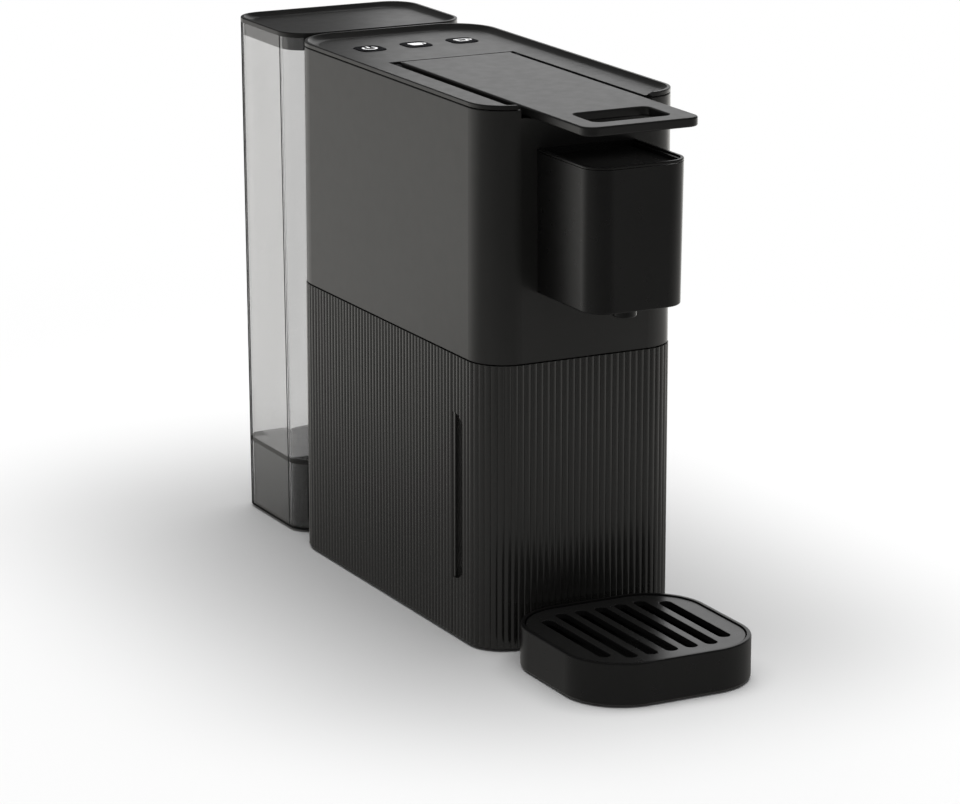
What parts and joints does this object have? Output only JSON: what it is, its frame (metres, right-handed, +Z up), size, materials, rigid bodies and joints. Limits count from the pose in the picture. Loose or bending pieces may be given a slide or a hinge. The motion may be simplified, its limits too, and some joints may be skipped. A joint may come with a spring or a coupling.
{
  "type": "pod coffee machine",
  "caption": "Slim pod coffee machine with a reeded lower body, lift-up lever, brew head, drip tray, pod drawer and a lift-off rear water tank.",
  "frame": {"origin": "centre of the whole machine's box on the surface that it stands on", "axes": "+Z up, -Y towards the user (drip tray side), +X to the right seen from the front"},
  "size_m": [0.1028, 0.3778, 0.2565],
  "materials": {
    "housing_black": "fine matte texture",
    "front_black": "satin black",
    "inner_plastic": "moulded",
    "button_gloss": "satin",
    "smoked_clear": "clear smoked",
    "rubber": "matte",
    "silicone_hose": "translucent",
    "steel": "brushed",
    "cast_aluminium": "cast",
    "pump_body": "moulded",
    "circuit_board": "solder mask"
  },
  "bodies": {
    "body": {"base_plate": "inner_plastic", "rubber_feet": "rubber", "base_screws": "steel", "rear_lower_shell": "housing_black", "upper_shell": "housing_black", "top_cover": "housing_black", "lever_well": "front_black", "lever_pin": "steel", "control_board": "circuit_board", "button_switches": "inner_plastic", "board_screws": "steel", "brew_head": "front_black", "head_cap": "front_black", "spout": "front_black", "coffee_funnel": "inner_plastic", "brew_frame": "inner_plastic", "injection_plate": "steel", "chamber_seal": "rubber", "thermoblock": "cast_aluminium", "thermal_cutout": "steel", "water_pump": "pump_body", "pump_mounts": "rubber", "flow_meter": "inner_plastic", "suction_hose": "silicone_hose", "inlet_hose": "silicone_hose", "pressure_hose": "silicone_hose", "hot_water_hose": "silicone_hose", "inner_chassis": "inner_plastic", "power_board": "circuit_board", "tank_pedestal": "inner_plastic", "tank_seal": "rubber", "cord_gland": "inner_plastic"},
    "lever": {"lever": "housing_black", "drive_pins": "steel"},
    "cage": {"capsule_cage": "inner_plastic", "outlet_plate": "steel"},
    "power_button": {"power_button": "button_gloss"},
    "small_cup_button": {"small_cup_button": "button_gloss"},
    "large_cup_button": {"large_cup_button": "button_gloss"},
    "tank": {"water_tank": "smoked_clear", "tank_outlet": "inner_plastic"},
    "lid": {"tank_lid": "housing_black"},
    "drawer": {"drawer_front": "housing_black", "capsule_bin": "inner_plastic"},
    "tray": {"drip_tray": "front_black"},
    "grille": {"drip_grille": "front_black"}
  },
  "joints": [
    {"name": "lever_hinge", "type": "hinge", "parent": "body", "child": "lever", "pos_m": [0, 0.0352, 0.2498], "axis": [-1, 0, 0], "range_deg": [0, 80]},
    {"name": "cage_slide", "type": "slide", "parent": "body", "child": "cage", "axis": [0, -1, 0], "range_m": [0, 0.034]},
    {"name": "power_button_press", "type": "slide", "parent": "body", "child": "power_button", "axis": [0, 0, -1], "range_m": [0, 0.0012], "stiffness_N_per_m": 900, "springref_m": -0.0004},
    {"name": "small_cup_button_press", "type": "slide", "parent": "body", "child": "small_cup_button", "axis": [0, 0, -1], "range_m": [0, 0.0012], "stiffness_N_per_m": 900, "springref_m": -0.0004},
    {"name": "large_cup_button_press", "type": "slide", "parent": "body", "child": "large_cup_button", "axis": [0, 0, -1], "range_m": [0, 0.0012], "stiffness_N_per_m": 900, "springref_m": -0.0004},
    {"name": "tank_lift", "type": "slide", "parent": "body", "child": "tank", "axis": [0, 0, 1], "range_m": [0, 0.06]},
    {"name": "lid_lift", "type": "slide", "parent": "tank", "child": "lid", "axis": [0, 0, 1], "range_m": [0, 0.03]},
    {"name": "drawer_slide", "type": "slide", "parent": "body", "child": "drawer", "axis": [0, -1, 0], "range_m": [0, 0.1]},
    {"name": "tray_pull", "type": "slide", "parent": "drawer", "child": "tray", "axis": [0, -1, 0], "range_m": [0, 0.03]},
    {"name": "grille_lift", "type": "slide", "parent": "tray", "child": "grille", "axis": [0, 0, 1], "range_m": [0, 0.03]}
  ],
  "couplings": [
    {"joint": "cage_slide", "follows": "lever_hinge", "m_per_rad": 0.024307}
  ]
}
